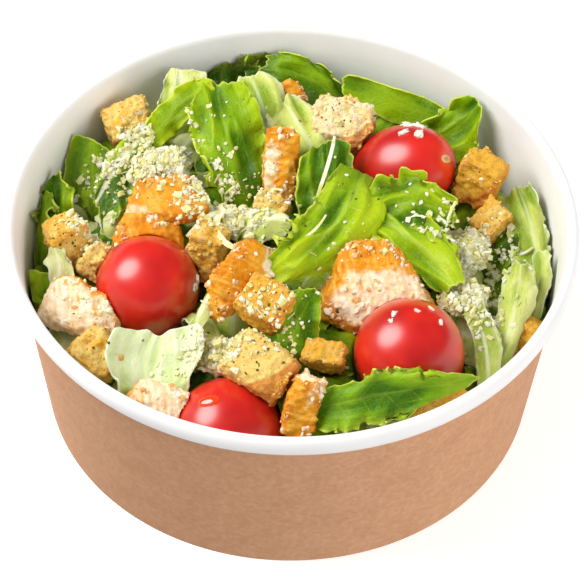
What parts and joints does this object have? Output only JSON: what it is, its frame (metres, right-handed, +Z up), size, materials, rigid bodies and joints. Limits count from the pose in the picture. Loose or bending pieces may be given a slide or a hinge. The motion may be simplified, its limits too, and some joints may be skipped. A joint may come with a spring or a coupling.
{
  "type": "chicken caesar salad in a paper bowl",
  "caption": "Round paper bowl with a rolled rim, filled with romaine, grated cheese, cherry tomatoes, seared chicken slices and croutons.",
  "frame": {"origin": "middle of the bowl's foot, on the surface that it stands on", "axes": "+Z up through the open top, -Y towards the side shown in the picture, +X to the right in the picture"},
  "size_m": [0.15, 0.15, 0.0631],
  "materials": {
    "kraft_paper": "uncoated brown paper board outside, white coated paper inside and on the rolled rim",
    "white_paper": "smooth white coated paper",
    "romaine": "moist green leaf with pale veins and ribs, waxy sheen",
    "grated_cheese": "dry pale grated hard cheese",
    "tomato_skin": "smooth glossy red skin",
    "seared_chicken": "orange seared outside, pale fibrous cut faces",
    "toasted_bread": "golden toasted crumb with specks of herbs"
  },
  "bodies": {
    "root": {"bowl_wall": "kraft_paper", "bowl_base": "white_paper", "lettuce_heap": "romaine", "tomato_1": "tomato_skin", "tomato_2": "tomato_skin", "tomato_3": "tomato_skin", "tomato_4": "tomato_skin", "chicken_1": "seared_chicken", "chicken_2": "seared_chicken", "chicken_3": "seared_chicken", "chicken_4": "seared_chicken", "chicken_5": "seared_chicken", "chicken_6": "seared_chicken", "chicken_7": "seared_chicken", "chicken_8": "seared_chicken", "chicken_9": "seared_chicken", "crouton_01": "toasted_bread", "crouton_02": "toasted_bread", "crouton_03": "toasted_bread", "crouton_04": "toasted_bread", "crouton_05": "toasted_bread", "crouton_06": "toasted_bread", "crouton_07": "toasted_bread", "crouton_08": "toasted_bread", "crouton_09": "toasted_bread", "crouton_10": "toasted_bread", "crouton_11": "toasted_bread", "crouton_12": "toasted_bread", "crouton_13": "toasted_bread", "crouton_14": "toasted_bread"}
  },
  "joints": []
}
